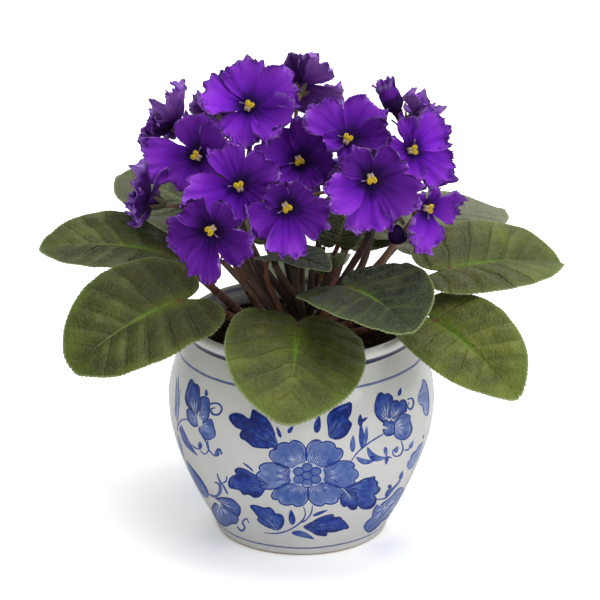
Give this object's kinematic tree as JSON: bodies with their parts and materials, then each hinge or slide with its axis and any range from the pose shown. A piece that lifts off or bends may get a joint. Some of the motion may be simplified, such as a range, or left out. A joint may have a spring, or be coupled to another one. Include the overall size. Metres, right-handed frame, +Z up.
{
  "type": "potted african violet",
  "caption": "African violet in a round glazed pot: broad hairy leaves spread from a short crown over the rim, with ruffled purple flowers on branching stalks above them.",
  "frame": {"origin": "centre of the pot's foot ring, on the surface it stands on", "axes": "+Z up along the pot's axis, +X along the plant's widest spread, -Y towards the front that the flowers face"},
  "size_m": [0.2734, 0.2201, 0.2489],
  "materials": {
    "glaze": "glossy clear glaze over a hand-painted blue floral pattern",
    "soil": "moist, crumbly, matte",
    "stem": "dark red-brown, juicy, with fine hairs",
    "foliage": "olive green, quilted between the veins and velvety with short hairs",
    "petal": "violet, satin with a fine sparkle, darker in the throat",
    "pollen": "yellow, waxy"
  },
  "bodies": {
    "root": {"pot": "glaze", "potting_soil": "soil", "crown_stem": "stem", "leaf_back_left": "foliage", "leaf_back_right": "foliage", "leaf_far_left": "foliage", "leaf_front": "foliage", "leaf_front_left": "foliage", "leaf_front_right": "foliage", "leaf_rear": "foliage", "leaf_rear_left": "foliage", "leaf_rear_right": "foliage", "leaf_right_high": "foliage", "leaf_right_low": "foliage", "young_leaf_front": "foliage", "young_leaf_right": "foliage", "young_leaf_upright": "foliage", "stalk_far_left": "stem", "stalk_far_right": "stem", "stalk_front_right": "stem", "stalk_left": "stem", "stalk_middle": "stem", "stalk_rear": "stem", "stalk_right": "stem", "corolla_01": "petal", "corolla_02": "petal", "corolla_03": "petal", "corolla_04": "petal", "corolla_05": "petal", "corolla_06": "petal", "corolla_07": "petal", "corolla_08": "petal", "corolla_09": "petal", "corolla_10": "petal", "corolla_11": "petal", "corolla_12": "petal", "corolla_13": "petal", "corolla_14": "petal", "corolla_15": "petal", "corolla_16": "petal", "corolla_17": "petal", "corolla_18": "petal", "corolla_19": "petal", "anthers_01": "pollen", "anthers_02": "pollen", "anthers_03": "pollen", "anthers_05": "pollen", "anthers_06": "pollen", "anthers_07": "pollen", "anthers_08": "pollen", "anthers_09": "pollen", "anthers_10": "pollen", "anthers_11": "pollen", "anthers_12": "pollen", "anthers_13": "pollen", "anthers_17": "pollen", "anthers_18": "pollen", "anthers_19": "pollen", "bud_left": "petal", "bud_right": "petal"}
  },
  "joints": []
}
